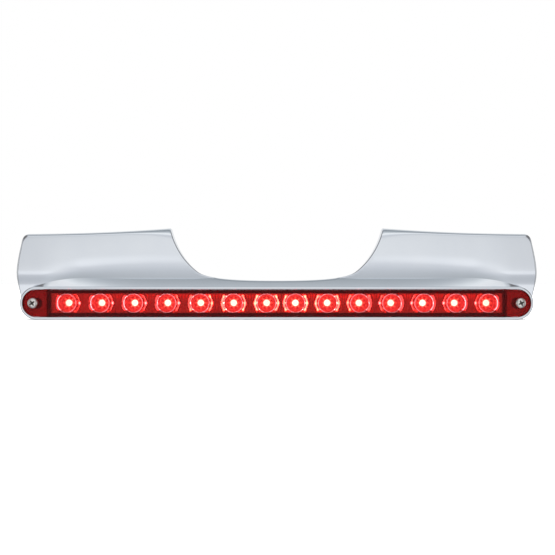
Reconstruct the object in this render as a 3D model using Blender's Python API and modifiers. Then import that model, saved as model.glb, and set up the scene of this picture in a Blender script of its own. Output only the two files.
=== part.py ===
"""Third brake light: a chrome die-cast housing with a long LED light strip in its lower rail.

Units are metres, +Z is up and the light shines towards -Y. The origin is the centre of the pad on the back
of the rail: Y = 0 is the plane that seats on the vehicle, and Z = 0 is the centre line of the light strip.
"""

import math

import bmesh
import bpy
from mathutils import Matrix, Vector

MM = 0.001

# Driving dimensions of the housing
RIM_Y = -20.0 * MM  # front plane of the rim around the light strip
RIM_ROUNDING = 0.4 * MM
RIM_STEP = 1.3 * MM  # how far the rim stands out of the ledge above it
RAIL_HALF_HEIGHT = 9.9 * MM
RAIL_HALF_LENGTH = 154.3 * MM
RAIL_CENTRE = RAIL_HALF_LENGTH - RAIL_HALF_HEIGHT  # centre of the rail's round end
WALL = 2.6 * MM
FRONT_WALL = 3.0 * MM
RIB_THICKNESS = 2.4 * MM
RIB_BACK_Y = -5.0 * MM
FIT_GAP = 0.3 * MM
AHEAD = -40.0 * MM  # cutters start ahead of the whole part and end behind it
BEHIND = 10.0 * MM

# The wings' face, and how it rolls under towards the rail
FACE_Y = -19.8 * MM
ROLL_SLOPE_OUTER = 0.64
ROLL_SLOPE_INNER = 0.42
ROLL_START_OUTER = 16.5 * MM
ROLL_START_INNER = 23.0 * MM
ROLL_SOFTNESS_OUTER = 5.0 * MM
ROLL_SOFTNESS_INNER = 9.0 * MM
WING_INNER_X = 63.0 * MM
WING_OUTER_X = 157.2 * MM
CREASE_Z = 15.1 * MM  # where the wing's face meets the sloping ledge above the rim
CREASE_FADE_START = 115.0 * MM
CREASE_FADE_END = RAIL_CENTRE + 1.8 * MM

# The left half of the outline above the rail, in millimetres, as Bezier stretches from end wall to middle
END_LOWER = ((-153.9, 1.5), (-155.6, 5.5), (-157.2, 11.5), (-157.2, 17.0))
END_UPPER = ((-157.2, 17.0), (-157.2, 24.0), (-154.8, 32.5), (-153.7, 37.6))
TOP_CORNER = ((-153.7, 37.6), (-153.1, 40.4), (-151.6, 41.5), (-149.2, 41.6))
TOP_WING = ((-149.2, 41.6), (-120.0, 41.9), (-95.0, 42.6), (-63.4, 45.2))
TOP_MIDDLE = ((-63.4, 45.2), (-45.0, 46.7), (-20.0, 47.2), (0.0, 47.2))

# How far the face's edge is rounded off across it and how deep, in millimetres, at points along that outline
END_ROUNDING = (4.0, 5.0)
CORNER_ROUNDING = (3.4, 4.2)
TOP_ROUNDING = (2.4, 3.0)
CUT_ROUNDING = (4.5, 4.5)

# Steps round the rail's end below the wing, and along each column of the housing's front
END_STEPS = 8
FACE_STEPS = 7
ROUNDING_STEPS = 4

# The left half of the tail lamp cut-out, in millimetres, from its top to the middle of its bottom
CUT_TOP = ((-65.0, 48.5), (-64.1, 44.5), (-62.9, 40.5), (-61.4, 37.0))
CUT_SIDE = ((-61.4, 37.0), (-58.8, 30.8), (-54.6, 24.4), (-48.5, 19.4))
CUT_BOTTOM = ((-48.5, 19.4), (-43.2, 15.1), (-31.0, 13.5), (0.0, 13.5))

# Depths inside the light pocket, and the sizes of the light strip
STRIP_HALF_LENGTH = 152.4 * MM  # the light strip is 12 inches long
STRIP_HALF_HEIGHT = 8.1 * MM
POCKET_FLOOR_Y = -5.5 * MM
REAR_RECESS_Y = -3.0 * MM
REAR_RECESS_HALF_HEIGHT = 7.0 * MM
REAR_RECESS_END_X = 136.0 * MM
PAD_HALF_LENGTH = 30.0 * MM
LENS_FACE_Y = -20.4 * MM
LENS_SKIN = 1.8 * MM
LENS_WALL = 1.6 * MM
LENS_FOOT_Y = -10.2 * MM
EYE_RADIUS = 5.7 * MM  # the round optic inside the lens over each LED
EYE_HEIGHT = 0.5 * MM
EAR_FACE_Y = -18.6 * MM
EAR_THICKNESS = 3.0 * MM
SEAL_FRONT_Y = -9.9 * MM
SEAL_BACK_Y = -9.3 * MM
BASE_FRONT_Y = -9.0 * MM
BASE_BACK_Y = -7.0 * MM
GASKET_FRONT_Y = -6.7 * MM
GASKET_BACK_Y = -5.8 * MM
BOARD_FRONT_Y = -10.9 * MM
BOARD_BACK_Y = -9.3 * MM
ON_BOARD_Y = BOARD_FRONT_Y - FIT_GAP
REFLECTOR_FRONT_Y = -17.4 * MM
WINDOW_HALF_LENGTH = 138.0 * MM
WINDOW_HALF_HEIGHT = 7.9 * MM
BOARD_HALF_HEIGHT = 5.6 * MM
REFLECTOR_HALF_HEIGHT = 5.9 * MM
CUP_FRONT_RADIUS = 8.4 * MM  # a cup's six corners in front, and at the board
CUP_BACK_RADIUS = 4.2 * MM
CUP_SQUASH = 0.76  # a cup is lower than it is wide
RELIEF_FRONT_Y = -13.2 * MM
RELIEF_HALF_WIDTH = 2.6 * MM

# Fixings
SCREW_X = 146.6 * MM
SCREW_RADIUS = 1.5 * MM
SCREW_HOLE_RADIUS = SCREW_RADIUS + FIT_GAP
SCREW_TIP_Y = -1.6 * MM
SCREW_HEAD_RADIUS = 3.25 * MM
WIRE_X = 42.0 * MM
GROMMET_RADIUS = 3.0 * MM
INSERT_X = 105.0 * MM
INSERT_Z = 27.0 * MM
INSERT_RADIUS = 3.0 * MM
INSERT_LENGTH = 8.0 * MM
BOSS_RADIUS = 5.5 * MM

# Two LED boards of seven, butted at a joint right of the middle
LEDS_PER_BOARD = 7
BOARD_JOINT_X = 2.6 * MM
LED_TO_JOINT = 8.7 * MM
LEFT_PITCH = 20.0 * MM
RIGHT_PITCH = 19.3 * MM

parts = None
cutters = None


def start_scene():
    """Removes what the file holds, and makes one collection for the parts and one for the cutters."""
    global parts, cutters
    for obj in list(bpy.data.objects):
        bpy.data.objects.remove(obj)
    parts = bpy.data.collections.new("third_brake_light")
    cutters = bpy.data.collections.new("cutters")
    bpy.context.scene.collection.children.link(parts)
    bpy.context.scene.collection.children.link(cutters)


def make_material(name, colour, roughness, metallic=0.0, transmission=0.0):
    material = bpy.data.materials.new(name)
    material.use_nodes = True
    shader = material.node_tree.nodes["Principled BSDF"]
    shader.inputs["Base Color"].default_value = (*colour, 1.0)
    shader.inputs["Roughness"].default_value = roughness
    shader.inputs["Metallic"].default_value = metallic
    shader.inputs["Transmission Weight"].default_value = transmission
    return material


# Shared shape tools


def bezier(stretch, t):
    """A point of a Bezier stretch given in millimetres, as metres."""
    s = 1 - t
    weights = (s * s * s, 3 * s * s * t, 3 * s * t * t, t * t * t)
    return sum((weight * Vector(point) for weight, point in zip(weights, stretch)), Vector((0.0, 0.0))) * MM


def smooth_step(t):
    t = min(1.0, max(0.0, t))
    return t * t * (3 - 2 * t)


def mirrored_ring(left_half):
    """A closed (x, z) outline from its left half, whose first and last points may lie on the middle."""
    right_half = [(-x, z) for x, z in reversed(left_half) if x < -0.001 * MM]
    return [(x, z) for x, z in left_half] + right_half


def stadium(half_length, half_height, arc_steps=10):
    centre = half_length - half_height
    points = []
    for side in (1, -1):
        for step in range(arc_steps + 1):
            angle = side * (math.pi / 2) - math.pi * step / arc_steps
            points.append((side * centre + half_height * math.cos(angle), half_height * math.sin(angle)))
    return points


def rectangle(x0, x1, z0, z1):
    return [(x0, z0), (x1, z0), (x1, z1), (x0, z1)]


def circle(x, z, radius, steps=20):
    turns = [2 * math.pi * k / steps for k in range(steps)]
    return [(x + radius * math.cos(a), z + radius * math.sin(a)) for a in turns]


def round_ended(inner_x, end_x, half_height, side, steps=10):
    """Outline of an end piece, straight at inner_x and a half circle out to end_x, on the given side."""
    centre = end_x - half_height
    points = [(side * inner_x, -half_height)]
    for step in range(steps + 1):
        angle = -math.pi / 2 + math.pi * step / steps
        points.append((side * (centre + half_height * math.cos(angle)), half_height * math.sin(angle)))
    points.append((side * inner_x, half_height))
    return points


def add_object(name, mesh, material=None, cutter=False):
    obj = bpy.data.objects.new(name, mesh)
    (cutters if cutter else parts).objects.link(obj)
    if material is not None:
        mesh.materials.clear()
        mesh.materials.append(material)
    if cutter:
        obj.hide_render = True
        obj.display_type = "WIRE"
    return obj


def mesh_from(bm, name):
    bmesh.ops.recalc_face_normals(bm, faces=bm.faces)
    mesh = bpy.data.meshes.new(name)
    bm.to_mesh(mesh)
    bm.free()
    return mesh


def plate(name, outlines, y_front, y_back, material=None, cutter=False):
    """A flat piece cut to (x, z) outlines: the first is its edge and the others are its holes."""
    curve = bpy.data.curves.new(name, "CURVE")
    curve.dimensions = "2D"
    curve.fill_mode = "BOTH"
    curve.extrude = abs(y_back - y_front) / 2
    for outline in outlines:
        spline = curve.splines.new("POLY")
        spline.points.add(len(outline) - 1)
        for point, (x, z) in zip(spline.points, outline):
            point.co = (x, z, 0, 1)
        spline.use_cyclic_u = True
    flat = bpy.data.objects.new(name + "_outline", curve)
    bpy.context.scene.collection.objects.link(flat)
    bpy.context.view_layer.update()
    graph = bpy.context.evaluated_depsgraph_get()
    mesh = bpy.data.meshes.new_from_object(flat.evaluated_get(graph))
    bpy.data.objects.remove(flat)
    middle = Matrix.Translation((0, (y_front + y_back) / 2, 0))
    mesh.transform(middle @ Matrix.Rotation(math.pi / 2, 4, "X"))
    bm = bmesh.new()
    bm.from_mesh(mesh)
    bmesh.ops.remove_doubles(bm, verts=bm.verts, dist=0.001 * MM)
    return add_object(name, mesh_from(bm, name), material, cutter)


def block(name, x0, x1, y0, y1, z0, z1, material=None, cutter=False):
    bm = bmesh.new()
    size = Matrix.Diagonal((x1 - x0, y1 - y0, z1 - z0, 1))
    middle = Matrix.Translation(((x0 + x1) / 2, (y0 + y1) / 2, (z0 + z1) / 2))
    bmesh.ops.create_cube(bm, size=1.0, matrix=middle @ size)
    return add_object(name, mesh_from(bm, name), material, cutter)


def rod_cutter(name, x, z, radius_front, radius_back, y_front, y_back, steps=20, stretch_z=1.0):
    """A cylinder or cone along Y."""
    bm = bmesh.new()
    place = Matrix.Translation((x, (y_front + y_back) / 2, z)) @ Matrix.Diagonal((1, 1, stretch_z, 1))
    bmesh.ops.create_cone(
        bm,
        cap_ends=True,
        segments=steps,
        radius1=radius_front,
        radius2=radius_back,
        depth=y_back - y_front,
        matrix=place @ Matrix.Rotation(-math.pi / 2, 4, "X") @ Matrix.Rotation(math.pi / 2, 4, "Z"),
    )
    return add_object(name, mesh_from(bm, name), None, True)


def turned(name, profile, x, z, material, steps=20):
    """A piece turned about an axis along Y, from (radius, y) points running back down its outer side."""
    mesh = bpy.data.meshes.new(name)
    points = [(radius, 0.0, -y) for radius, y in profile]
    mesh.from_pydata(points, [(k, k + 1) for k in range(len(points) - 1)], [])
    obj = add_object(name, mesh, material)
    obj.rotation_euler = (math.pi / 2, 0, 0)
    obj.location = (x, 0, z)
    screw = obj.modifiers.new("Turn", "SCREW")
    screw.steps = steps
    screw.render_steps = steps
    screw.use_merge_vertices = True
    screw.merge_threshold = 0.00001
    return obj


def boolean(obj, other, operation="DIFFERENCE"):
    modifier = obj.modifiers.new(other.name, "BOOLEAN")
    modifier.operation = operation
    modifier.solver = "EXACT"
    modifier.object = other


# The housing: two wings, a cut-out for the tail lamp and a rail that holds the light strip


def body_depth(x, z):
    """Y of the wing's face before its edges are rounded. Low down it bends back to a steady slope."""
    outward = smooth_step((abs(x) - WING_INNER_X) / (WING_OUTER_X - WING_INNER_X))
    slope = ROLL_SLOPE_INNER + (ROLL_SLOPE_OUTER - ROLL_SLOPE_INNER) * outward
    start = ROLL_START_INNER + (ROLL_START_OUTER - ROLL_START_INNER) * outward
    softness = ROLL_SOFTNESS_INNER + (ROLL_SOFTNESS_OUTER - ROLL_SOFTNESS_INNER) * outward
    below = start - z
    roll = slope * 0.5 * (below + math.hypot(below, softness))
    at_end = smooth_step((abs(x) - 118 * MM) / (24 * MM))
    roll += (2.3 * MM * smooth_step((19 * MM - z) / (9 * MM)) - roll) * at_end
    crown = 3.0 * (z - 30 * MM) ** 2
    end_bow = 0.8 * MM * (max(0.0, abs(x) - 120 * MM) / (37 * MM)) ** 2
    return min(FACE_Y + roll + crown + end_bow, -4.0 * MM)


def crease_height(x):
    fade = min(1.0, max(0.0, abs(x) - CREASE_FADE_START) / (CREASE_FADE_END - CREASE_FADE_START))
    return CREASE_Z - (CREASE_Z - RAIL_HALF_HEIGHT) * fade**2.2


def stations():
    """(rim point, outline point, rounding width and depth) round the left half, from bottom to top."""
    centre = Vector((-RAIL_CENTRE, 0.0))
    low = bezier(END_LOWER, 0.0) - centre
    low_turn = math.atan2(low.y, -low.x)  # how far above the end's level the wall leaves the rail

    def rim(turn):
        return centre + RAIL_HALF_HEIGHT * Vector((-math.cos(turn), math.sin(turn)))

    found = []
    for step in range(END_STEPS + 1):
        point = rim(-math.pi / 2 + (math.pi / 2 + low_turn) * step / END_STEPS)
        found.append((point, point, 0.0, 0.0))

    walls = (
        (END_LOWER, 6, END_ROUNDING, END_ROUNDING),
        (END_UPPER, 6, END_ROUNDING, CORNER_ROUNDING),
        (TOP_CORNER, 5, CORNER_ROUNDING, TOP_ROUNDING),
    )
    total = sum(steps for _, steps, _, _ in walls)
    done = 0
    for stretch, steps, start, end in walls:
        for step in range(0 if done else 1, steps):
            t = step / steps
            point = rim(low_turn + (math.pi / 2 - low_turn) * (done + step) / total)
            width, depth = Vector(start).lerp(Vector(end), t) * MM
            found.append((point, bezier(stretch, t), width, depth))
        done += steps

    tops = (
        (TOP_WING, 10, -RAIL_CENTRE, -WING_INNER_X, TOP_ROUNDING),
        (TOP_MIDDLE, 4, -WING_INNER_X, 0.0, CUT_ROUNDING),
    )
    for stretch, steps, x0, x1, start in tops:
        for step in range(steps):
            t = step / steps
            width, depth = Vector(start).lerp(Vector(CUT_ROUNDING), t) * MM
            point = Vector((x0 + (x1 - x0) * t, RAIL_HALF_HEIGHT))
            found.append((point, bezier(stretch, t), width, depth))
    width, depth = Vector(CUT_ROUNDING) * MM
    found.append((Vector((0.0, RAIL_HALF_HEIGHT)), bezier(TOP_MIDDLE, 1.0), width, depth))
    return found


def crease_share(rim, outline):
    """How far from the rim to the outline the crease lies."""
    if rim.x < -CREASE_FADE_END or outline.y - rim.y < 1 * MM:
        return 0.0
    share = 0.0
    for _ in range(20):
        x = rim.x + (outline.x - rim.x) * share
        share = max(0.0, (crease_height(x) - rim.y) / (outline.y - rim.y))
    return share


def front_column(rim, outline, width, depth):
    """Points from the rim, over the ledge and the wing's face, round the edge and back to the seat."""
    outward = Vector((0.0, 1.0))
    if rim.x < -RAIL_CENTRE:
        outward = (rim - Vector((-RAIL_CENTRE, 0.0))).normalized()
    if rim.y < 0 and rim.x > -RAIL_CENTRE - 0.1 * MM:
        outward = Vector((0.0, -1.0))
    inset = rim - outward * RIM_ROUNDING
    knee = rim - outward * RIM_ROUNDING * 0.29
    points = [
        (inset.x, RIM_Y, inset.y),
        (knee.x, RIM_Y + RIM_ROUNDING * 0.29, knee.y),
        (rim.x, RIM_Y + RIM_ROUNDING, rim.y),
        (rim.x, RIM_Y + RIM_STEP, rim.y),
    ]
    reach = (outline - rim).length
    if reach < 0.4 * MM:
        rows = FACE_STEPS + ROUNDING_STEPS + 1
        points += [(rim.x, (-11.0 + 9.5 * k / (rows - 1)) * MM, rim.y) for k in range(rows)]
    else:
        first = crease_share(rim, outline)
        width = min(width, reach * (1 - first) * 0.6)
        last = 1 - width / reach
        for step in range(FACE_STEPS + 1):
            at = rim.lerp(outline, first + (last - first) * (step / FACE_STEPS) ** 1.3)
            points.append((at.x, body_depth(at.x, at.y), at.y))
        for step in range(1, ROUNDING_STEPS + 1):
            turn = math.pi / 2 * step / ROUNDING_STEPS
            at = rim.lerp(outline, last + (1 - last) * math.sin(turn))
            y = min(body_depth(at.x, at.y) + depth * (1 - math.cos(turn)), -1.5 * MM)
            points.append((at.x, y, at.y))
    points.append((outline.x, 0.0, outline.y))
    return points


def body_solid(name, material=None, cutter=False, back=0.0):
    """The housing's outside as one solid, set back by a distance."""
    left = [front_column(*station) for station in stations()]
    right = [[(-x, y, z) for x, y, z in column] for column in reversed(left[:-1])]
    bm = bmesh.new()
    columns = [[bm.verts.new((x, y + back, z)) for x, y, z in column] for column in left + right]
    for here, there in zip(columns, columns[1:] + columns[:1]):
        for a, b, c, d in zip(here, here[1:], there[1:], there):
            bm.faces.new((a, b, c))
            bm.faces.new((a, c, d))
    bm.faces.new([column[0] for column in columns])
    bm.faces.new([column[-1] for column in reversed(columns)])
    return add_object(name, mesh_from(bm, name), material, cutter)


def cut_outline(grow=0.0, steps=8):
    """The tail lamp cut-out's outline, grown into the metal by a distance."""
    left = []
    for stretch in (CUT_TOP, CUT_SIDE, CUT_BOTTOM):
        for step in range(steps):
            t = step / steps
            here, ahead = bezier(stretch, t), bezier(stretch, t + 0.01)
            along = (ahead - here).normalized()
            left.append(tuple(here + Vector((along.y, -along.x)) * grow))
    left.append((0.0, CUT_BOTTOM[-1][1] * MM - grow))
    return mirrored_ring(left)


def wing_hollow(side):
    """The hollow behind one wing, with a rib and a fixing boss left standing in it."""
    label = "left" if side < 0 else "right"
    floor_z = RAIL_HALF_HEIGHT + 1.5 * MM
    points = [(-60 * MM, floor_z), (-150 * MM, floor_z), (-153.4 * MM, 13 * MM)]
    for stretch, steps in ((END_UPPER, 3), (TOP_CORNER, 3), (TOP_WING, 5)):
        for step in range(steps + 1):
            t = step / steps
            here, ahead = bezier(stretch, t), bezier(stretch, t + 0.01)
            along = (ahead - here).normalized()
            inside = here + Vector((along.y, -along.x)) * WALL
            points.append((inside.x, inside.y))
    kept = points[:1]
    for point in points[1:]:
        if math.dist(point, kept[-1]) > FIT_GAP:
            kept.append(point)
    hollow = plate(f"hollow_{label}", [[(-side * x, z) for x, z in kept]], AHEAD, 1 * MM, None, True)
    boolean(hollow, body_solid(f"hollow_front_{label}", None, True, FRONT_WALL), "INTERSECT")
    boolean(hollow, plate(f"hollow_keep_{label}", [cut_outline(WALL)], AHEAD, BEHIND, None, True))
    x = side * INSERT_X
    half = RIB_THICKNESS / 2
    boolean(hollow, block(f"rib_{label}", x - half, x + half, AHEAD, RIB_BACK_Y, 5 * MM, 50 * MM, None, True))
    boolean(hollow, rod_cutter(f"boss_{label}", x, INSERT_Z, BOSS_RADIUS, BOSS_RADIUS, AHEAD, BEHIND))
    return hollow


def make_housing(material):
    housing = body_solid("chrome_housing", material)
    boolean(housing, plate("tail_lamp_cut", [cut_outline()], AHEAD, BEHIND, None, True))
    pocket = stadium(STRIP_HALF_LENGTH + FIT_GAP, STRIP_HALF_HEIGHT + FIT_GAP)
    boolean(housing, plate("strip_pocket", [pocket], AHEAD, POCKET_FLOOR_Y, None, True))
    for side, label in ((-1, "left"), (1, "right")):
        boolean(housing, wing_hollow(side))
        x0, x1 = sorted((side * PAD_HALF_LENGTH, side * REAR_RECESS_END_X))
        recess = rectangle(x0, x1, -REAR_RECESS_HALF_HEIGHT, REAR_RECESS_HALF_HEIGHT)
        boolean(housing, plate(f"rear_recess_{label}", [recess], REAR_RECESS_Y, BEHIND, None, True))
        hole = INSERT_RADIUS + FIT_GAP
        hole_end = -INSERT_LENGTH - 2 * FIT_GAP
        name = f"insert_hole_{label}"
        boolean(housing, rod_cutter(name, side * INSERT_X, INSERT_Z, hole, hole, hole_end, BEHIND))
        hole = SCREW_HOLE_RADIUS
        hole_end = SCREW_TIP_Y + FIT_GAP
        boolean(housing, rod_cutter(f"screw_hole_{label}", side * SCREW_X, 0, hole, hole, -8 * MM, hole_end))
    hole = GROMMET_RADIUS + FIT_GAP
    boolean(housing, rod_cutter("wire_hole", WIRE_X, 0, hole, hole, -8 * MM, BEHIND))


def make_inserts(material):
    """A threaded sleeve pressed into each wing's boss."""
    for side, label in ((-1, "left"), (1, "right")):
        ridge = INSERT_RADIUS - 0.4 * MM
        profile = [
            (1.6 * MM, -INSERT_LENGTH - FIT_GAP),
            (ridge, -INSERT_LENGTH - FIT_GAP),
            (INSERT_RADIUS, -INSERT_LENGTH + 0.3 * MM),
            (INSERT_RADIUS, -5.0 * MM),
            (ridge, -4.6 * MM),
            (ridge, -3.8 * MM),
            (INSERT_RADIUS, -3.4 * MM),
            (INSERT_RADIUS, -FIT_GAP),
            (1.9 * MM, -FIT_GAP),
            (1.6 * MM, -0.7 * MM),
            (1.6 * MM, -INSERT_LENGTH - FIT_GAP),
        ]
        turned(f"threaded_insert_{label}", profile, side * INSERT_X, INSERT_Z, material)


# The light strip


def led_positions(board):
    side, pitch = ((-1, LEFT_PITCH), (1, RIGHT_PITCH))[board]
    return [BOARD_JOINT_X + side * (LED_TO_JOINT + pitch * k) for k in range(LEDS_PER_BOARD)]


def board_ends(board):
    """Where a board starts and ends, clear of the joint and of the lens's end wall."""
    inside = WINDOW_HALF_LENGTH - LENS_WALL - 2 * FIT_GAP
    return ((-inside, BOARD_JOINT_X - FIT_GAP / 2), (BOARD_JOINT_X + FIT_GAP / 2, inside))[board]


def make_gasket(material):
    outline = stadium(STRIP_HALF_LENGTH - 0.9 * MM, STRIP_HALF_HEIGHT - 0.6 * MM)
    holes = [circle(side * SCREW_X, 0, SCREW_HOLE_RADIUS + 0.2 * MM) for side in (-1, 1)]
    holes.append(circle(WIRE_X, 0, GROMMET_RADIUS + FIT_GAP))
    plate("mounting_gasket", [outline] + holes, GASKET_FRONT_Y, GASKET_BACK_Y, material)


def make_base(material):
    """The tray that carries the boards, with a raised block under each end of the lens."""
    outline = stadium(STRIP_HALF_LENGTH - FIT_GAP, STRIP_HALF_HEIGHT - FIT_GAP)
    tower_front = EAR_FACE_Y + EAR_THICKNESS + FIT_GAP
    base = plate("light_base", [outline], tower_front, BASE_BACK_Y, material)
    x = WINDOW_HALF_LENGTH + 0.5 * MM
    boolean(base, block("tray_middle", -x, x, AHEAD, BASE_FRONT_Y, -10 * MM, 10 * MM, None, True))
    for side, label in ((-1, "left"), (1, "right")):
        radius = SCREW_HOLE_RADIUS
        boolean(base, rod_cutter(f"base_hole_{label}", side * SCREW_X, 0, radius, radius, AHEAD, BEHIND))
    radius = GROMMET_RADIUS + FIT_GAP
    boolean(base, rod_cutter("base_wire_hole", WIRE_X, 0, radius, radius, AHEAD, BEHIND))


def make_grommet(material):
    """A rubber bush with a flange behind the pocket's floor. The lamp's leads leave through its bore."""
    bore = 1.3 * MM
    profile = [
        (bore, BASE_FRONT_Y + 0.1 * MM),
        (GROMMET_RADIUS - 0.4 * MM, BASE_FRONT_Y + 0.1 * MM),
        (GROMMET_RADIUS, BASE_FRONT_Y + 0.6 * MM),
        (GROMMET_RADIUS, REAR_RECESS_Y + FIT_GAP),
        (GROMMET_RADIUS + 1.6 * MM, REAR_RECESS_Y + FIT_GAP),
        (GROMMET_RADIUS + 1.6 * MM, REAR_RECESS_Y + 1.2 * MM),
        (GROMMET_RADIUS + 1.0 * MM, REAR_RECESS_Y + 1.8 * MM),
        (bore, REAR_RECESS_Y + 1.8 * MM),
        (bore, BASE_FRONT_Y + 0.1 * MM),
    ]
    turned("wire_grommet", profile, WIRE_X, 0, material)


def make_boards(material):
    for board, label in enumerate(("left", "right")):
        x0, x1 = board_ends(board)
        half = BOARD_HALF_HEIGHT
        block(f"circuit_board_{label}", x0, x1, BOARD_FRONT_Y, BOARD_BACK_Y, -half, half, material)


def make_reflectors(material):
    """A bright moulding on each board: a six-sided cup round each LED, reliefs over the small parts."""
    for board, label in enumerate(("left", "right")):
        x0, x1 = board_ends(board)
        half = REFLECTOR_HALF_HEIGHT
        reflector = block(f"reflector_{label}", x0, x1, REFLECTOR_FRONT_Y, ON_BOARD_Y, -half, half, material)
        xs = led_positions(board)
        y0, y1 = REFLECTOR_FRONT_Y - 0.2 * MM, ON_BOARD_Y + 0.2 * MM
        for index, x in enumerate(xs):
            name = f"cup_{label}_{index + 1}"
            cup = rod_cutter(name, x, 0, CUP_FRONT_RADIUS, CUP_BACK_RADIUS, y0, y1, 6, CUP_SQUASH)
            boolean(reflector, cup)
        half = RELIEF_HALF_WIDTH
        for index in (0, 2, 4):
            x = (xs[index] + xs[index + 1]) / 2
            name = f"relief_{label}_{index}"
            boolean(reflector, block(name, x - half, x + half, RELIEF_FRONT_Y, 0.0, -half, half, None, True))


def make_leds(material):
    profile = [
        (0.0, -14.4 * MM),
        (0.8 * MM, -14.2 * MM),
        (1.4 * MM, -13.7 * MM),
        (1.7 * MM, -13.0 * MM),
        (1.7 * MM, -12.4 * MM),
        (2.3 * MM, -12.4 * MM),
        (2.3 * MM, ON_BOARD_Y),
        (0.0, ON_BOARD_Y),
    ]
    positions = sorted(led_positions(0) + led_positions(1))
    for index, x in enumerate(positions):
        turned(f"led_{index + 1:02d}", profile, x, 0, material, 12)


def make_small_parts(resistor_material, diode_material):
    """Two resistors and a protection diode on each board."""
    for board in (0, 1):
        xs = led_positions(board)
        for index, kind in ((0, "resistor"), (2, "resistor"), (4, "diode")):
            x = (xs[index] + xs[index + 1]) / 2
            number = board * 2 + index // 2 + 1 if kind == "resistor" else board + 1
            width, height, thickness = (1.3, 1.6, 0.7) if kind == "resistor" else (1.3, 2.1, 1.4)
            material = resistor_material if kind == "resistor" else diode_material
            x0, x1, half = x - width * MM, x + width * MM, height * MM
            y0 = ON_BOARD_Y - thickness * MM
            block(f"{kind}_{number}", x0, x1, y0, ON_BOARD_Y, -half, half, material)


def make_lens_seal(material):
    x, z = WINDOW_HALF_LENGTH, WINDOW_HALF_HEIGHT - 0.2 * MM
    outer = rectangle(-x, x, -z, z)
    x, z = WINDOW_HALF_LENGTH - LENS_WALL, WINDOW_HALF_HEIGHT - LENS_WALL
    plate("lens_seal", [outer, rectangle(-x, x, -z, z)], SEAL_FRONT_Y, SEAL_BACK_Y, material)


def make_lens(material):
    """The red cover: a raised window over the LEDs, with a round ear for a screw at each end."""
    x, z = WINDOW_HALF_LENGTH, WINDOW_HALF_HEIGHT
    lens = block("lens", -x, x, LENS_FACE_Y, LENS_FOOT_Y, -z, z, material)
    for side, label in ((-1, "left"), (1, "right")):
        outline = round_ended(x - 1 * MM, STRIP_HALF_LENGTH, STRIP_HALF_HEIGHT, side, 14)
        ear = plate(f"ear_{label}", [outline], EAR_FACE_Y, EAR_FACE_Y + EAR_THICKNESS, None, True)
        boolean(lens, ear, "UNION")
    x, z, y = x - LENS_WALL, z - LENS_WALL, LENS_FACE_Y + LENS_SKIN
    boolean(lens, block("lens_hollow", -x, x, y, 0, -z, z, None, True))
    for side, label in ((-1, "left"), (1, "right")):
        radius = SCREW_HOLE_RADIUS
        boolean(lens, rod_cutter(f"ear_hole_{label}", side * SCREW_X, 0, radius, radius, AHEAD, BEHIND))
    for index, x in enumerate(sorted(led_positions(0) + led_positions(1))):
        eye = rod_cutter(f"eye_{index + 1}", x, 0, EYE_RADIUS, EYE_RADIUS, y - EYE_HEIGHT, y + EYE_HEIGHT, 24)
        boolean(lens, eye, "UNION")


def make_screws(material):
    """A pan-head screw with a cross recess in each ear of the lens."""
    seat = EAR_FACE_Y - FIT_GAP
    head = SCREW_HEAD_RADIUS
    profile = [
        (0.0, seat - 2.2 * MM),
        (head * 0.45, seat - 2.1 * MM),
        (head * 0.78, seat - 1.7 * MM),
        (head * 0.95, seat - 1.1 * MM),
        (head, seat - 0.5 * MM),
        (head * 0.97, seat),
        (SCREW_RADIUS, seat),
        (SCREW_RADIUS, SCREW_TIP_Y - 1.2 * MM),
        (0.6 * MM, SCREW_TIP_Y),
        (0.0, SCREW_TIP_Y),
    ]
    for side, label in ((-1, "left"), (1, "right")):
        screw = turned(f"lens_screw_{label}", profile, side * SCREW_X, 0, material)
        arm = rectangle(-1.75 * MM, 1.75 * MM, -0.45 * MM, 0.45 * MM)
        for index, turn in enumerate((35, 125)):
            c, s = math.cos(math.radians(turn)), math.sin(math.radians(turn))
            outline = [(x * c - z * s, x * s + z * c) for x, z in arm]
            slot = plate(f"cross_{label}_{index}", [outline], AHEAD, seat - 0.7 * MM, None, True)
            # The cutter's mesh is moved to the screw, because the screw carries its own turn
            slot.data.transform(Matrix.Translation((side * SCREW_X, 0, 0)))
            boolean(screw, slot)


def build():
    start_scene()
    chrome = make_material("chrome", (0.80, 0.82, 0.84), 0.06, metallic=1.0)
    screw_steel = make_material("screw_steel", (0.66, 0.66, 0.67), 0.25, metallic=1.0)
    brass = make_material("brass", (0.72, 0.53, 0.24), 0.30, metallic=1.0)
    red_lens = make_material("red_lens", (0.75, 0.02, 0.03), 0.05, transmission=0.6)
    black_plastic = make_material("black_plastic", (0.015, 0.015, 0.017), 0.45)
    rubber = make_material("rubber", (0.02, 0.02, 0.02), 0.80)
    foam = make_material("foam", (0.06, 0.06, 0.065), 0.95)
    board_green = make_material("circuit_board", (0.02, 0.11, 0.05), 0.45)
    bright_plastic = make_material("bright_plastic", (0.80, 0.80, 0.82), 0.12, metallic=1.0)
    led_resin = make_material("led_resin", (0.95, 0.90, 0.82), 0.15)
    resistor_ceramic = make_material("resistor_ceramic", (0.05, 0.06, 0.08), 0.40)
    diode_epoxy = make_material("diode_epoxy", (0.02, 0.02, 0.02), 0.35)

    make_housing(chrome)
    make_inserts(brass)
    make_gasket(foam)
    make_base(black_plastic)
    make_grommet(rubber)
    make_boards(board_green)
    make_reflectors(bright_plastic)
    make_leds(led_resin)
    make_small_parts(resistor_ceramic, diode_epoxy)
    make_lens_seal(rubber)
    make_lens(red_lens)
    make_screws(screw_steel)


build()
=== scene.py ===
import math

import bpy
from mathutils import Matrix, Vector


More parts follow.
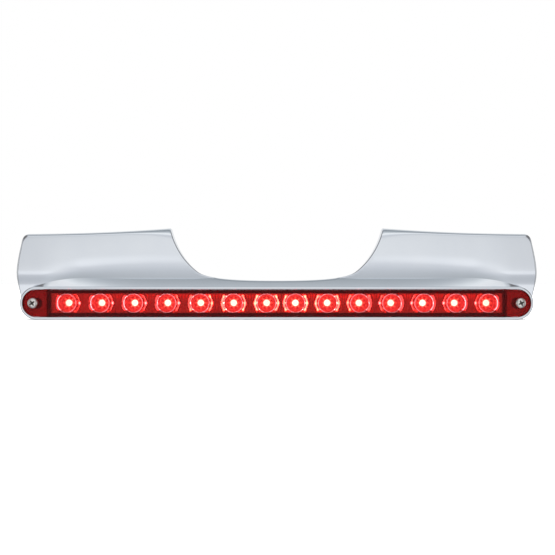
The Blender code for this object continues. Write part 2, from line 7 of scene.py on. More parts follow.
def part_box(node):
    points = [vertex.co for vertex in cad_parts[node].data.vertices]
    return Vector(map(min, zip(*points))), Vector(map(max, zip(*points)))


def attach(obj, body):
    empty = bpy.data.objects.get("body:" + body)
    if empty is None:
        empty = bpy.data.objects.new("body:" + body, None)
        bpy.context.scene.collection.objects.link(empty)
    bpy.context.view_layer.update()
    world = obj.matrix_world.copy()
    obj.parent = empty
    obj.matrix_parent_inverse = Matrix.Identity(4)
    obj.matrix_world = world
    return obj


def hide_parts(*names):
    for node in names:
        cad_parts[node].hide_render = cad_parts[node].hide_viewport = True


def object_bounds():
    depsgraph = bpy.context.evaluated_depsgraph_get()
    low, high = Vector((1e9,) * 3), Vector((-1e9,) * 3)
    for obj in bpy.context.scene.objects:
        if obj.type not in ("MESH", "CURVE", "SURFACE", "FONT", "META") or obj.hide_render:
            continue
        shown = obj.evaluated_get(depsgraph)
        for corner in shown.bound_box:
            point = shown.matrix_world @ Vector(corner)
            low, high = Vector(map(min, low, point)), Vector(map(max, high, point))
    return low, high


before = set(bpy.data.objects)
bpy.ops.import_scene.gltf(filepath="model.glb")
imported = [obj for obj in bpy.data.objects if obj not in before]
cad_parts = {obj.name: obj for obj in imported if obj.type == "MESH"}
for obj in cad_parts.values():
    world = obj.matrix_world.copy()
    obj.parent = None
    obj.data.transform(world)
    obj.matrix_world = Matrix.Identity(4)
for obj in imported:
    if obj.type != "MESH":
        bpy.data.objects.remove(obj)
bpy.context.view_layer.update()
bpy.ops.object.select_all(action="DESELECT")

MM = 0.001

# ---- The camera and the studio ------------------------------------------------------------------
# The light lies on a white table and is looked at squarely from the front, from about 60 cm.
# The chrome mirrors a pale card ahead of it, a strip light high above that, and a darker room around.

lens_low, lens_high = (Vector(corner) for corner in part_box("lens"))
lens_centre = (lens_low + lens_high) / 2

camera_data = bpy.data.cameras.new("camera")
camera_data.sensor_width = 36.0
camera_data.angle = math.radians(31.0)
camera_data.clip_start = 0.01
camera_data.clip_end = 20.0
camera_data.dof.use_dof = False
camera = bpy.data.objects.new("camera", camera_data)
bpy.context.scene.collection.objects.link(camera)
camera.location = (0.5 * MM, lens_low.y - 600 * MM, lens_centre.z + 15.4 * MM)
camera.rotation_euler = (math.radians(90), 0, 0)
bpy.context.scene.camera = camera
bpy.context.scene.view_settings.view_transform = "Standard"

bpy.ops.mesh.primitive_plane_add(size=8.0, location=(0, 0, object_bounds()[0][2] - 0.0002))
floor = bpy.context.object
floor.name = "floor"
floor.visible_glossy = False  # the chrome reflects the studio, not the table
floor.visible_transmission = False
table_white = bpy.data.materials.new("table_white")
table_white.use_nodes = True
table_shader = table_white.node_tree.nodes["Principled BSDF"]
table_shader.inputs["Base Color"].default_value = (0.93, 0.93, 0.93, 1)
table_shader.inputs["Roughness"].default_value = 0.9
table_shader.inputs["Specular IOR Level"].default_value = 0.0
floor.data.materials.append(table_white)


def soft_light(name, place, width, height, power):
    """A rectangular softbox aimed at the light. The chrome doesn't mirror its edges."""
    data = bpy.data.lights.new(name, "AREA")
    data.shape = "RECTANGLE"
    data.size = width
    data.size_y = height
    data.energy = power
    light = bpy.data.objects.new(name, data)
    bpy.context.scene.collection.objects.link(light)
    light.location = place
    light.rotation_euler = (-Vector(place)).to_track_quat("-Z", "Y").to_euler()
    light.visible_glossy = False


soft_light("top_softbox", (0.0, -0.3, 1.6), 2.4, 2.0, 62.0)
soft_light("front_softbox", (0.2, -1.5, 0.7), 1.2, 0.8, 9.0)


def set_stops(ramp, stops):
    """Gives a colour ramp its (position, colour) stops."""
    ramp.elements[0].position, ramp.elements[1].position = stops[0][0], stops[-1][0]
    for place, _ in stops[1:-1]:
        ramp.elements.new(place)
    for element, (place, tone) in zip(ramp.elements, stops):
        element.position = place
        element.color = (*tone, 1)


def mix_light(share, first, second, blend="MIX"):
    """Two colours of the mirrored room mixed. A share or a colour is a value or a node's output."""
    mix = nodes.new("ShaderNodeMix")
    mix.data_type = "RGBA"
    mix.blend_type = blend
    for socket, value in ((mix.inputs[0], share), (mix.inputs[6], first), (mix.inputs[7], second)):
        if isinstance(value, (float, tuple)):
            socket.default_value = value
        else:
            links.new(value, socket)
    return mix.outputs[2]


world = bpy.data.worlds.new("studio")
world.use_nodes = True
bpy.context.scene.world = world
nodes, links = world.node_tree.nodes, world.node_tree.links
nodes.clear()
direction = nodes.new("ShaderNodeTexCoord")
split = nodes.new("ShaderNodeSeparateXYZ")
links.new(direction.outputs["Generated"], split.inputs["Vector"])
height = nodes.new("ShaderNodeMapRange")
height.inputs["From Min"].default_value = -1.0
links.new(split.outputs["Z"], height.inputs["Value"])
card = nodes.new("ShaderNodeValToRGB")
card.color_ramp.interpolation = "B_SPLINE"
set_stops(
    card.color_ramp,
    (
        (0.00, (0.44, 0.46, 0.48)),
        (0.10, (0.50, 0.52, 0.54)),
        (0.19, (0.64, 0.66, 0.69)),
        (0.27, (0.78, 0.79, 0.82)),
        (0.35, (0.87, 0.875, 0.89)),
        (0.46, (0.89, 0.895, 0.905)),
        (0.58, (0.87, 0.875, 0.885)),
        (0.70, (0.66, 0.67, 0.70)),
        (0.79, (0.80, 0.82, 0.85)),
        (0.85, (1.15, 1.16, 1.16)),
        (0.90, (0.90, 0.92, 0.93)),
        (0.94, (0.56, 0.59, 0.62)),
        (0.98, (0.46, 0.485, 0.51)),
        (1.00, (0.30, 0.33, 0.35)),
    ),
)
links.new(height.outputs["Result"], card.inputs["Fac"])
behind = nodes.new("ShaderNodeMapRange")
behind.interpolation_type = "SMOOTHSTEP"
behind.inputs["From Min"].default_value = 0.1
behind.inputs["From Max"].default_value = 0.6
links.new(split.outputs["Y"], behind.inputs["Value"])
around = mix_light(behind.outputs["Result"], card.outputs["Color"], (0.85, 0.86, 0.87, 1))
aside = nodes.new("ShaderNodeMath")
aside.operation = "ABSOLUTE"
links.new(split.outputs["X"], aside.inputs[0])
walls = nodes.new("ShaderNodeValToRGB")
set_stops(
    walls.color_ramp,
    (
        (0.00, (1.0, 1.0, 1.0)),
        (0.09, (1.0, 1.0, 1.0)),
        (0.26, (0.90, 0.90, 0.905)),
        (0.46, (0.80, 0.80, 0.81)),
        (0.56, (0.22, 0.21, 0.21)),
        (0.80, (0.22, 0.21, 0.21)),
        (0.94, (0.90, 0.90, 0.90)),
        (1.00, (1.0, 1.0, 1.0)),
    ),
)
links.new(aside.outputs["Value"], walls.inputs["Fac"])
room = mix_light(1.0, around, walls.outputs["Color"], "MULTIPLY")
folded = nodes.new("ShaderNodeCombineXYZ")
links.new(aside.outputs["Value"], folded.inputs["X"])
links.new(split.outputs["Y"], folded.inputs["Y"])
links.new(split.outputs["Z"], folded.inputs["Z"])
towards = nodes.new("ShaderNodeVectorMath")
towards.operation = "DOT_PRODUCT"
towards.inputs[1].default_value = Vector((0.27, -0.92, -0.28)).normalized()
links.new(folded.outputs["Vector"], towards.inputs[0])
lamp = nodes.new("ShaderNodeMapRange")
lamp.interpolation_type = "SMOOTHSTEP"
lamp.inputs["From Min"].default_value = math.cos(math.radians(13))
lamp.inputs["From Max"].default_value = 1.0
lamp.inputs["To Max"].default_value = 0.18
links.new(towards.outputs["Value"], lamp.inputs["Value"])
reflection = nodes.new("ShaderNodeBackground")
links.new(mix_light(1.0, room, lamp.outputs["Result"], "ADD"), reflection.inputs["Color"])
backdrop = nodes.new("ShaderNodeBackground")
backdrop.inputs["Color"].default_value = (1, 1, 1, 1)
backdrop.inputs["Strength"].default_value = 1.0
path = nodes.new("ShaderNodeLightPath")
choose = nodes.new("ShaderNodeMixShader")
links.new(path.outputs["Is Glossy Ray"], choose.inputs["Fac"])
links.new(backdrop.outputs["Background"], choose.inputs[1])
links.new(reflection.outputs["Background"], choose.inputs[2])
world_out = nodes.new("ShaderNodeOutputWorld")
links.new(choose.outputs["Shader"], world_out.inputs["Surface"])

# ---- Chrome housing -----------------------------------------------------------------------------
# One zinc casting, polished and chrome plated on the outside and left as cast behind. The wings are
# shallow pillows that roll under to a crease, and a sloping ledge runs from there to the raised rim.

housing_low, housing_high = (Vector(corner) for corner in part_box("chrome_housing"))
RIM_Y = housing_low.y
BACK_Y = housing_high.y
RAIL_HALF_HEIGHT = -housing_low.z
RAIL_HALF_LENGTH = 154.3 * MM
RAIL_CENTRE = RAIL_HALF_LENGTH - RAIL_HALF_HEIGHT
RIM_STEP = 1.3 * MM
RIM_OUTER_ROUNDING = 0.65 * MM
RIM_INNER_ROUNDING = 0.45 * MM
RIM_WIDTH = 1.6 * MM
POCKET_FLOOR_Y = -5.5 * MM
FACE_Y = -19.8 * MM
CREASE_Z = 15.1 * MM
LEDGE_SLOPE = 0.72
LEDGE_BULGE = 0.12 * MM
CREASE_FADE_START = 115.0 * MM
CREASE_FADE_END = RAIL_CENTRE + 1.8 * MM
WING_INNER_X = 63.0 * MM
WING_OUTER_X = -housing_low.x
HOLLOW_WALL = 2.6 * MM
FRONT_WALL = 3.0 * MM
INSERT_X = 105.0 * MM
INSERT_Z = 27.0 * MM
INSERT_HOLE_RADIUS = 3.3 * MM
BOSS_RADIUS = 5.5 * MM
RIB_HALF_THICKNESS = 1.2 * MM
SCREW_X = 146.6 * MM
SCREW_HOLE_RADIUS = 1.8 * MM
WIRE_X = 42.0 * MM

# The roll along a wing's foot beside the cut-out, and how much that changes towards its outer end.
# The start and the softness are in millimetres.
ROLL_SLOPE, ROLL_SLOPE_GAIN = 0.42, 0.22
ROLL_START, ROLL_START_DROP = 23.0, 6.5
ROLL_SOFTNESS, ROLL_SOFTNESS_DROP = 9.0, 4.0

# The left half of the outline, in millimetres, as Bezier stretches from the end wall to the middle
END_LOWER = ((-153.9, 1.5), (-155.6, 5.5), (-157.2, 11.5), (-157.2, 17.0))
END_UPPER = ((-157.2, 17.0), (-157.2, 24.0), (-154.8, 32.5), (-153.7, 37.6))
TOP_CORNER = ((-153.7, 37.6), (-153.1, 40.4), (-151.6, 41.5), (-149.2, 41.6))
TOP_WING = ((-149.2, 41.6), (-120.0, 41.9), (-95.0, 42.6), (-63.4, 45.2))
TOP_MIDDLE = ((-63.4, 45.2), (-45.0, 46.7), (-20.0, 47.2), (0.0, 47.2))
CUT_TOP = ((-65.0, 48.5), (-64.1, 44.5), (-62.9, 40.5), (-61.4, 37.0))
CUT_SIDE = ((-61.4, 37.0), (-58.8, 30.8), (-54.6, 24.4), (-48.5, 19.4))
CUT_BOTTOM = ((-48.5, 19.4), (-43.2, 15.1), (-31.0, 13.5), (0.0, 13.5))

# How far the face's edge is rounded off across it and how deep, in millimetres, along that outline
END_ROUNDING = (4.0, 5.0)
CORNER_ROUNDING = (3.4, 4.2)
TOP_ROUNDING = (2.0, 2.4)
CUT_ROUNDING = (7.0, 4.4)


def bezier(stretch, t):
    """A point of a Bezier stretch given in millimetres, as metres."""
    s = 1 - t
    weights = (s * s * s, 3 * s * s * t, 3 * s * t * t, t * t * t)
    weighted = (weight * Vector(point) for weight, point in zip(weights, stretch))
    return sum(weighted, Vector((0.0, 0.0))) * MM


def smooth_step(t):
    """An even start and stop between 0 and 1."""
    t = min(1.0, max(0.0, t))
    return t * t * (3 - 2 * t)


def body_depth(x, z):
    """Y of the wing's face before its edges are rounded.

    Low down the face rolls back to a steady slope, and past the rail's end to a shallow shelf.
    """
    outward = smooth_step((abs(x) - WING_INNER_X) / (WING_OUTER_X - WING_INNER_X))
    slope = ROLL_SLOPE + ROLL_SLOPE_GAIN * outward
    start = (ROLL_START - ROLL_START_DROP * outward) * MM
    softness = (ROLL_SOFTNESS - ROLL_SOFTNESS_DROP * outward) * MM
    below = start - z
    roll = slope * 0.5 * (below + math.hypot(below, softness))
    at_end = smooth_step((abs(x) - 118 * MM) / (24 * MM))
    shelf = 1.5 * MM * smooth_step((19 * MM - z) / (9 * MM))
    roll += (shelf - roll) * at_end
    crown = 3.0 * (z - 30 * MM) ** 2
    end_bow = 0.8 * MM * (max(0.0, abs(x) - 120 * MM) / (37 * MM)) ** 2
    return min(FACE_Y + roll + crown + end_bow, -4.0 * MM)


def crease_height(x):
    """Z of the crease between the wing and the ledge, which runs down to the rim at the rail's end."""
    fade = min(1.0, max(0.0, abs(x) - CREASE_FADE_START) / (CREASE_FADE_END - CREASE_FADE_START))
    return CREASE_Z - (CREASE_Z - RAIL_HALF_HEIGHT) * fade**2.2


def surface_depth(x, z):
    """Y of the finished front above the rail, with the rounding along its top edge."""
    crease = crease_height(x)
    if z < crease:
        share = max(0.0, z - RAIL_HALF_HEIGHT) / (crease - RAIL_HALF_HEIGHT)
        start = RIM_Y + RIM_STEP
        return start + (body_depth(x, crease) - start) * share
    if abs(x) < WING_INNER_X:
        top = (45.2 + 2.0 * (1 - abs(x) / WING_INNER_X) ** 0.7) * MM
    else:
        top = (45.2 - 0.072 * (abs(x) / MM - 63.4)) * MM
    width, depth = Vector(CUT_ROUNDING) * MM
    near = min(1.0, max(0.0, (width - (top - z)) / width))
    return body_depth(x, z) + depth * (1 - math.sqrt(max(0.0, 1 - near * near)))


def stations():
    """(rim point, outline point, rounding width and depth) round the left half, from bottom to top."""
    centre = Vector((-RAIL_CENTRE, 0.0))
    low = bezier(END_LOWER, 0.0) - centre
    low_turn = math.atan2(low.y, -low.x)

    def rim(turn):
        return centre + RAIL_HALF_HEIGHT * Vector((-math.cos(turn), math.sin(turn)))

    found = []
    end_steps = 26
    for step in range(end_steps + 1):
        point = rim(-math.pi / 2 + (math.pi / 2 + low_turn) * step / end_steps)
        found.append((point, point, 0.0, 0.0))
    walls = (
        (END_LOWER, 20, END_ROUNDING, END_ROUNDING),
        (END_UPPER, 20, END_ROUNDING, CORNER_ROUNDING),
        (TOP_CORNER, 16, CORNER_ROUNDING, TOP_ROUNDING),
    )
    total = sum(steps for _, steps, _, _ in walls)
    done = 0
    for stretch, steps, start, end in walls:
        for step in range(0 if done else 1, steps):
            t = step / steps
            point = rim(low_turn + (math.pi / 2 - low_turn) * (done + step) / total)
            width, depth = Vector(start).lerp(Vector(end), t) * MM
            found.append((point, bezier(stretch, t), width, depth))
        done += steps
    tops = (
        (TOP_WING, 60, -RAIL_CENTRE, -WING_INNER_X, TOP_ROUNDING),
        (TOP_MIDDLE, 24, -WING_INNER_X, 0.0, CUT_ROUNDING),
    )
    for stretch, steps, x0, x1, start in tops:
        for step in range(steps):
            t = step / steps
            width, depth = Vector(start).lerp(Vector(CUT_ROUNDING), t**7) * MM
            point = Vector((x0 + (x1 - x0) * t, RAIL_HALF_HEIGHT))
            found.append((point, bezier(stretch, t), width, depth))
    width, depth = Vector(CUT_ROUNDING) * MM
    found.append((Vector((0.0, RAIL_HALF_HEIGHT)), bezier(TOP_MIDDLE, 1.0), width, depth))
    return found


def crease_share(rim, outline):
    """How far from the rim to the outline the crease lies."""
    if rim.x < -CREASE_FADE_END or outline.y - rim.y < 1 * MM:
        return 0.0
    share = 0.0
    for _ in range(20):
        x = rim.x + (outline.x - rim.x) * share
        share = max(0.0, (crease_height(x) - rim.y) / (outline.y - rim.y))
    return share


def housing_column(rim, outline, width, depth):
    """Points from the pocket's floor, over the rim, the ledge and the wing's face, back to the seat."""
    outward = Vector((0.0, 1.0 if rim.y > 0 else -1.0))
    if rim.x < -RAIL_CENTRE:
        outward = (rim - Vector((-RAIL_CENTRE, 0.0))).normalized()
    inner = rim - outward * RIM_WIDTH
    points = [(inner.x, POCKET_FLOOR_Y, inner.y), (inner.x, RIM_Y + 4 * MM, inner.y)]
    for step in range(6):
        turn = math.pi / 2 * step / 5
        at = inner + outward * RIM_INNER_ROUNDING * (1 - math.cos(turn))
        points.append((at.x, RIM_Y + RIM_INNER_ROUNDING * (1 - math.sin(turn)), at.y))
    for step in range(7):
        turn = math.pi / 2 * step / 6
        at = rim - outward * RIM_OUTER_ROUNDING * (1 - math.sin(turn))
        points.append((at.x, RIM_Y + RIM_OUTER_ROUNDING * (1 - math.cos(turn)), at.y))
    ledge_steps, face_steps, rounding_steps = 6, 30, 12
    reach = (outline - rim).length
    if reach < 0.4 * MM:
        rows = ledge_steps + face_steps + rounding_steps + 1
        points.append((rim.x, RIM_Y + RIM_STEP, rim.y))
        points += [(rim.x, (-17.0 + 15.5 * k / (rows - 1)) * MM, rim.y) for k in range(rows)]
    else:
        first = crease_share(rim, outline)
        width = min(width, reach * (1 - first) * 0.6)
        last = 1 - width / reach
        at = rim.lerp(outline, first)
        crease = Vector((at.x, body_depth(at.x, at.y), at.y))
        rise = min(crease.y - RIM_Y - RIM_STEP, LEDGE_SLOPE * (at - rim).length)
        foot = Vector((rim.x, crease.y - rise, rim.y))
        points.append(tuple(foot))
        for step in range(1, ledge_steps + 1):
            t = step / ledge_steps
            x, y, z = foot.lerp(crease, t)
            points.append((x, y - LEDGE_BULGE * 4 * t * (1 - t) * rise / (3.7 * MM), z))
        for step in range(face_steps + 1):
            at = rim.lerp(outline, first + (last - first) * (step / face_steps) ** 1.2)
            points.append((at.x, body_depth(at.x, at.y), at.y))
        for step in range(1, rounding_steps + 1):
            turn = math.pi / 2 * step / rounding_steps
            at = rim.lerp(outline, last + (1 - last) * math.sin(turn))
            y = min(body_depth(at.x, at.y) + depth * (1 - math.cos(turn)), -1.5 * MM)
            points.append((at.x, y, at.y))
    points.append((outline.x, BACK_Y, outline.y))
    return points


def stretch_over(name, columns):
    """A closed solid whose side is a grid stretched over columns of points, with both ends filled."""
    rows = len(columns[0])
    bpy.ops.mesh.primitive_grid_add(x_subdivisions=rows - 1, y_subdivisions=len(columns), size=1.0)
    obj = bpy.context.object
    obj.name = name
    obj.data.name = name
    flat = [value for column in columns + columns[:1] for point in column for value in point]
    obj.data.vertices.foreach_set("co", flat)
    obj.data.update()
    bpy.ops.object.mode_set(mode="EDIT")
    bpy.ops.mesh.select_all(action="SELECT")
    bpy.ops.mesh.remove_doubles(threshold=1e-6)
    bpy.ops.mesh.select_all(action="DESELECT")
    bpy.ops.mesh.select_non_manifold()
    bpy.ops.mesh.fill_holes(sides=0)
    bpy.ops.mesh.select_all(action="SELECT")
    bpy.ops.mesh.normals_make_consistent(inside=False)
    bpy.ops.object.mode_set(mode="OBJECT")
    return obj


def mirrored(columns):
    """The right half of a shape from its left half's columns, in the order that carries on round."""
    return [[(-x, y, z) for x, y, z in column] for column in reversed(columns)]


def combine(obj, other, operation="DIFFERENCE"):
    """Cuts, joins or trims obj with another mesh, which is used up."""
    modifier = obj.modifiers.new(operation.lower(), "BOOLEAN")
    modifier.operation = operation
    modifier.solver = "EXACT"
    modifier.object = other
    bpy.context.view_layer.objects.active = obj
    bpy.ops.object.modifier_apply(modifier=modifier.name)
    bpy.data.objects.remove(other)


def pick(obj):
    """Makes the object the only one selected, and the active one."""
    bpy.ops.object.select_all(action="DESELECT")
    obj.select_set(True)
    bpy.context.view_layer.objects.active = obj


def settle(obj):
    """Puts the object's place, turn and size into its mesh."""
    pick(obj)
    bpy.ops.object.transform_apply(location=True, rotation=True, scale=True)


def block(name, low, high):
    """A box between two corners, with its place in its mesh."""
    low, high = Vector(low), Vector(high)
    bpy.ops.mesh.primitive_cube_add(size=1.0, location=(low + high) / 2)
    obj = bpy.context.object
    obj.name = name
    obj.scale = high - low
    settle(obj)
    return obj


def round_bar(name, x, z, radius, y0, y1, sides=64, radius_back=None):
    """A cylinder or cone along Y, from y0 in front to y1 behind."""
    bpy.ops.mesh.primitive_cone_add(
        vertices=sides,
        radius1=radius,
        radius2=radius if radius_back is None else radius_back,
        depth=y1 - y0,
        location=(x, (y0 + y1) / 2, z),
        rotation=(-math.pi / 2, 0, 0),
    )
    obj = bpy.context.object
    obj.name = name
    settle(obj)
    return obj


def mark_as(obj, first, second):
    """Gives a cutter's faces the second of two finishes, which the walls it cuts then have."""
    obj.data.materials.append(first)
    obj.data.materials.append(second)
    for polygon in obj.data.polygons:
        polygon.material_index = 1


def smooth(obj, degrees):
    """Shades the surface smooth wherever it turns by less than the angle."""
    pick(obj)
    bpy.ops.object.shade_smooth_by_angle(angle=math.radians(degrees))


def new_finish(name, scale, detail=2.0):
    """A material with its shader, and a grain on object coordinates to work from."""
    material = bpy.data.materials.new(name)
    material.use_nodes = True
    tree = material.node_tree
    place = tree.nodes.new("ShaderNodeTexCoord")
    noise = tree.nodes.new("ShaderNodeTexNoise")
    noise.inputs["Scale"].default_value = scale
    noise.inputs["Detail"].default_value = detail
    tree.links.new(place.outputs["Object"], noise.inputs["Vector"])
    return material, tree, tree.nodes["Principled BSDF"], noise.outputs["Fac"]


def ramp_between(tree, source, colours, positions=(0.3, 0.7)):
    """A colour ramp over a value."""
    ramp = tree.nodes.new("ShaderNodeValToRGB")
    for element, colour, position in zip(ramp.color_ramp.elements, colours, positions):
        element.color = (*colour, 1)
        element.position = position
    tree.links.new(source, ramp.inputs["Fac"])
    return ramp.outputs["Color"]


def value_between(tree, source, low, high):
    """The source's 0 to 1 spread between two values."""
    spread = tree.nodes.new("ShaderNodeMapRange")
    spread.inputs["To Min"].default_value = low
    spread.inputs["To Max"].default_value = high
    tree.links.new(source, spread.inputs["Value"])
    return spread.outputs["Result"]


def vary(tree, shader, grain, colours, roughness):
    """Lets the base colour and the roughness drift with the grain."""
    tree.links.new(ramp_between(tree, grain, colours), shader.inputs["Base Color"])
    tree.links.new(value_between(tree, grain, *roughness), shader.inputs["Roughness"])


def add_bump(tree, shader, source, strength, distance):
    bump = tree.nodes.new("ShaderNodeBump")
    bump.inputs["Strength"].default_value = strength
    bump.inputs["Distance"].default_value = distance
    tree.links.new(source, bump.inputs["Height"])
    tree.links.new(bump.outputs["Normal"], shader.inputs["Normal"])


chrome, tree, shader, grain = new_finish("chrome", 55.0, 3.0)
shader.inputs["Metallic"].default_value = 1.0
vary(tree, shader, grain, ((0.775, 0.812, 0.858), (0.80, 0.835, 0.875)), (0.07, 0.11))

as_cast, tree, shader, grain = new_finish("chrome_over_cast_skin", 900.0, 4.0)
shader.inputs["Metallic"].default_value = 1.0
vary(tree, shader, grain, ((0.50, 0.51, 0.53), (0.62, 0.63, 0.65)), (0.34, 0.5))
add_bump(tree, shader, grain, 0.35, 0.0003)

left_columns = [housing_column(*station) for station in stations()]
housing = stretch_over("housing", left_columns + mirrored(left_columns[:-1]))
housing.data.materials.append(chrome)
housing.data.materials.append(as_cast)


def along_edge(stretch, steps):
    """Points along a stretch of an outline, each with the direction on its right-hand side."""
    for step in range(steps):
        t = step / steps
        here, ahead = bezier(stretch, t), bezier(stretch, t + 0.01)
        along = (ahead - here).normalized()
        yield here, Vector((along.y, -along.x))


def cut_points(steps):
    """Points and directions into the metal along the left half of the tail lamp cut-out."""
    found = []
    for stretch in (CUT_TOP, CUT_SIDE, CUT_BOTTOM):
        found += along_edge(stretch, steps)
    found.append((bezier(CUT_BOTTOM, 1.0), Vector((0.0, -1.0))))
    return found


EDGE_ROUNDING = 0.7 * MM
CUT_DRAFT = 0.9 * MM
edge_columns = []
for here, inward in cut_points(28):
    column = [(EDGE_ROUNDING + 0.35 * MM, -0.040, None)]
    column.append((EDGE_ROUNDING + 0.35 * MM, 0.0, -0.08 * MM))
    for step in range(9):
        turn = math.pi / 2 * step / 8
        offset, drop = EDGE_ROUNDING * (1 - math.sin(turn)), EDGE_ROUNDING * (1 - math.cos(turn))
        column.append((offset, 0.0, drop))
    column.append((CUT_DRAFT, 0.010, None))
    points = []
    for offset, fixed, extra in column:
        at = here + inward * offset
        y = fixed if extra is None else surface_depth(at.x, at.y) + extra
        points.append((at.x, y, at.y))
    edge_columns.append(points)
crown = [[(-64 * MM, y, 60 * MM) for _, y, _ in edge_columns[0]]]
left_columns = crown + edge_columns
combine(housing, stretch_over("tail_lamp_cut", left_columns + mirrored(left_columns[:-1])))


def shifted_body(name):
    """The housing's outside set back by its wall, which is the front of each wing's hollow."""
    left = [housing_column(*station)[15:] for station in stations()[::3]]
    body = stretch_over(name, left + mirrored(left))
    body.data.transform(Matrix.Translation((0, FRONT_WALL, 0)))
    return body


for side in (-1, 1):
    floor_z = RAIL_HALF_HEIGHT + 1.5 * MM
    outline = [Vector((-60 * MM, floor_z)), Vector((-150 * MM, floor_z))]
    outline.append(Vector((-153.4 * MM, 13 * MM)))
    for stretch, steps in ((END_UPPER, 12), (TOP_CORNER, 10), (TOP_WING, 20)):
        outline += [here + inward * HOLLOW_WALL for here, inward in along_edge(stretch, steps)]
    outline.append(bezier(TOP_WING, 1.0) + Vector((0, -HOLLOW_WALL)))
    columns = [[(-side * at.x, y, at.y) for y in (-0.035, 0.002)] for at in outline]
    hollow = stretch_over("hollow", columns)
    combine(hollow, shifted_body("hollow_front"), "INTERSECT")
    keep = []
    for here, inward in cut_points(16):
        at = here + inward * HOLLOW_WALL
        keep.append([(at.x, y, at.y) for y in (-0.04, 0.005)])
    keep = [[(-64 * MM, y, 60 * MM) for y in (-0.04, 0.005)]] + keep
    combine(hollow, stretch_over("cut_wall", keep + mirrored(keep[:-1])))
    x, half = side * INSERT_X, RIB_HALF_THICKNESS
    combine(hollow, block("rib", (x - half, -0.04, 5 * MM), (x + half, -5 * MM, 50 * MM)))
    combine(hollow, round_bar("boss", x, INSERT_Z, BOSS_RADIUS, -0.04, 0.01))
    mark_as(hollow, chrome, as_cast)
    combine(housing, hollow)
    insert_hole = round_bar("insert_hole", x, INSERT_Z, INSERT_HOLE_RADIUS, -8.6 * MM, 0.01)
    mark_as(insert_hole, chrome, as_cast)
    combine(housing, insert_hole)
    x0, x1 = sorted((side * 30 * MM, side * 136 * MM))
    recess = block("recess", (x0, -3 * MM, -7 * MM), (x1, 0.01, 7 * MM))
    mark_as(recess, chrome, as_cast)
    combine(housing, recess)
    x = side * SCREW_X
    combine(housing, round_bar("screw_hole", x, 0, SCREW_HOLE_RADIUS, -8 * MM, -1.3 * MM))
wire_hole = round_bar("wire_hole", WIRE_X, 0, 3.3 * MM, -8 * MM, 0.01)
mark_as(wire_hole, chrome, as_cast)
combine(housing, wire_hole)

smooth(housing, 32)
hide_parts("chrome_housing")
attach(housing, "root")

# ---- Red lens -----------------------------------------------------------------------------------
# One clear red moulding: a raised window with a turned-down wall, and a round ear at each end for
# its screw. Inside the window a low round eye with a sharp edge stands over each LED.

lens_low, lens_high = (Vector(corner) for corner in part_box("lens"))
LENS_FACE_Y = lens_low.y
LENS_FOOT_Y = lens_high.y
LENS_HALF_LENGTH = lens_high.x
EAR_HALF_HEIGHT = lens_high.z
EAR_FACE_Y = LENS_FACE_Y + 1.8 * MM
EAR_THICKNESS = 3.0 * MM
WINDOW_HALF_LENGTH = 138.0 * MM
WINDOW_HALF_HEIGHT = 8.0 * MM
WINDOW_EDGE_ROUNDING = 0.4 * MM
LENS_SKIN = 1.8 * MM
LENS_WALL = 1.6 * MM
EYE_RADIUS = 5.7 * MM
BOARD_JOINT_X = 2.6 * MM
LED_TO_JOINT = 8.7 * MM
LEFT_PITCH = 20.0 * MM
RIGHT_PITCH = 19.3 * MM
led_xs = [BOARD_JOINT_X - LED_TO_JOINT - LEFT_PITCH * index for index in range(7)][::-1]
led_xs += [BOARD_JOINT_X + LED_TO_JOINT + RIGHT_PITCH * index for index in range(7)]


def bevel_where(obj, wanted, width, segments):
    """Rounds the edges that wanted(middle of the edge) picks."""
    pick(obj)
    bpy.ops.object.mode_set(mode="EDIT")
    bpy.ops.mesh.select_mode(type="EDGE")
    bpy.ops.mesh.select_all(action="DESELECT")
    bpy.ops.object.mode_set(mode="OBJECT")
    points = obj.data.vertices
    for edge in obj.data.edges:
        a, b = (points[index].co for index in edge.vertices)
        edge.select = wanted((a + b) / 2)
    bpy.ops.object.mode_set(mode="EDIT")
    bpy.ops.mesh.bevel(
        offset=width, offset_type="OFFSET", segments=segments, profile=0.5, affect="EDGES"
    )
    bpy.ops.object.mode_set(mode="OBJECT")


def turned(name, profile, x, z, steps=64):
    """A piece turned about an axis along Y, from (radius, y) points running from front to back."""
    columns = []
    for step in range(steps):
        turn = 2 * math.pi * step / steps
        columns.append([(x + r * math.cos(turn), y, z + r * math.sin(turn)) for r, y in profile])
    return stretch_over(name, columns)


def math_node(tree, operation, *inputs, clamp=False):
    """A Math node whose inputs are numbers or other nodes' outputs."""
    node = tree.nodes.new("ShaderNodeMath")
    node.operation = operation
    node.use_clamp = clamp
    for socket, value in zip(node.inputs, inputs):
        if isinstance(value, (int, float)):
            socket.default_value = value
        else:
            tree.links.new(value, socket)
    return node.outputs["Value"]


def place_in_mm(tree):
    """The point's X, Y and Z on the object, in millimetres."""
    place = tree.nodes.new("ShaderNodeTexCoord")
    scale = tree.nodes.new("ShaderNodeMapping")
    scale.inputs["Scale"].default_value = (1000, 1000, 1000)
    tree.links.new(place.outputs["Object"], scale.inputs["Vector"])
    apart = tree.nodes.new("ShaderNodeSeparateXYZ")
    tree.links.new(scale.outputs["Vector"], apart.inputs["Vector"])
    return apart.outputs


